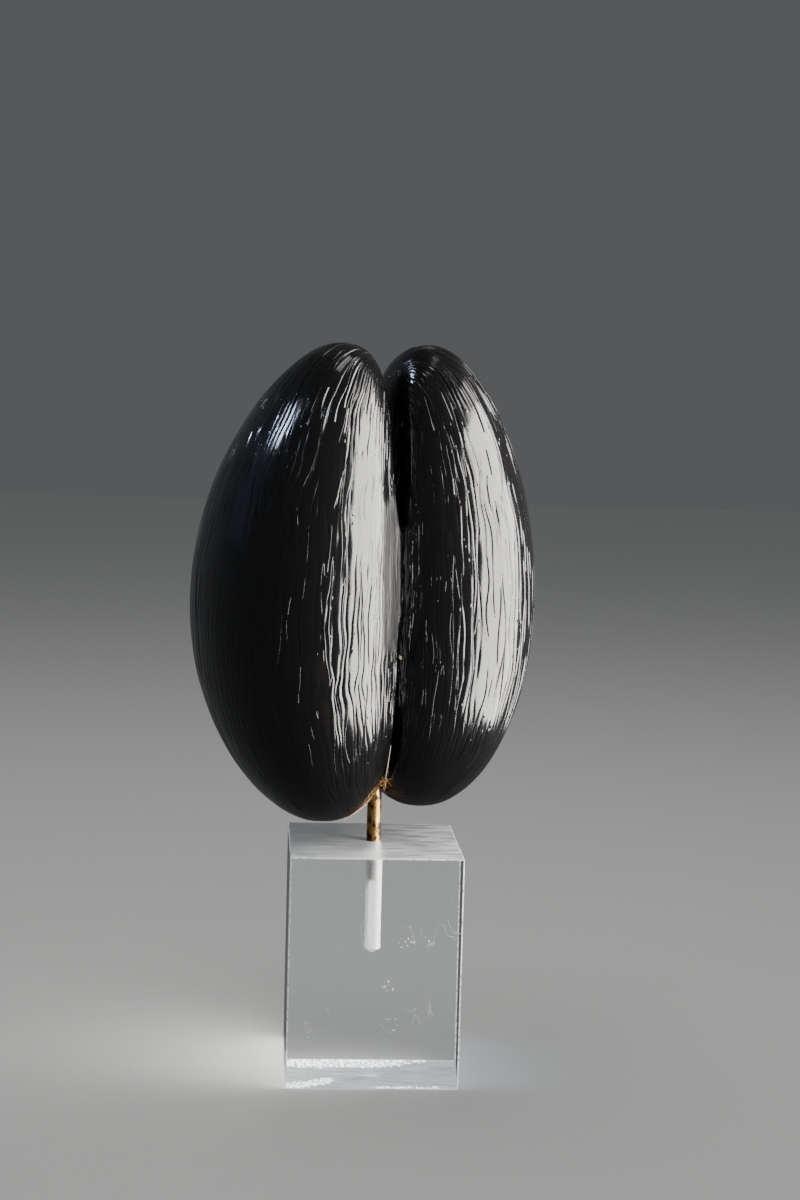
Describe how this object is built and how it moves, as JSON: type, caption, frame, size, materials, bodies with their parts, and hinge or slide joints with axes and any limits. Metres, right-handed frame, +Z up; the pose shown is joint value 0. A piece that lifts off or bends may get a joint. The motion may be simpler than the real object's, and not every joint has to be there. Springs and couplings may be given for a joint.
{
  "type": "coco de mer seed on a display stand",
  "caption": "Large double-lobed palm seed with a deep cleft and corded black shell, held by a metal rod in a clear acrylic block.",
  "frame": {"origin": "centre of the acrylic block's base", "axes": "+Z up along the rod, -Y out of the block's front face, +X to the right seen from the front; the seed's furrowed front faces -Y turned 18 degrees towards +X"},
  "size_m": [0.205, 0.1761, 0.4288],
  "materials": {
    "shell": "black natural shell with a glossy lacquer",
    "rod": "aged golden metal with dark brown mottling",
    "acrylic": "clear cast acrylic, sawn faces polished, with fine scratches"
  },
  "bodies": {
    "root": {"seed": "shell", "rod": "rod", "block": "acrylic"}
  },
  "joints": []
}
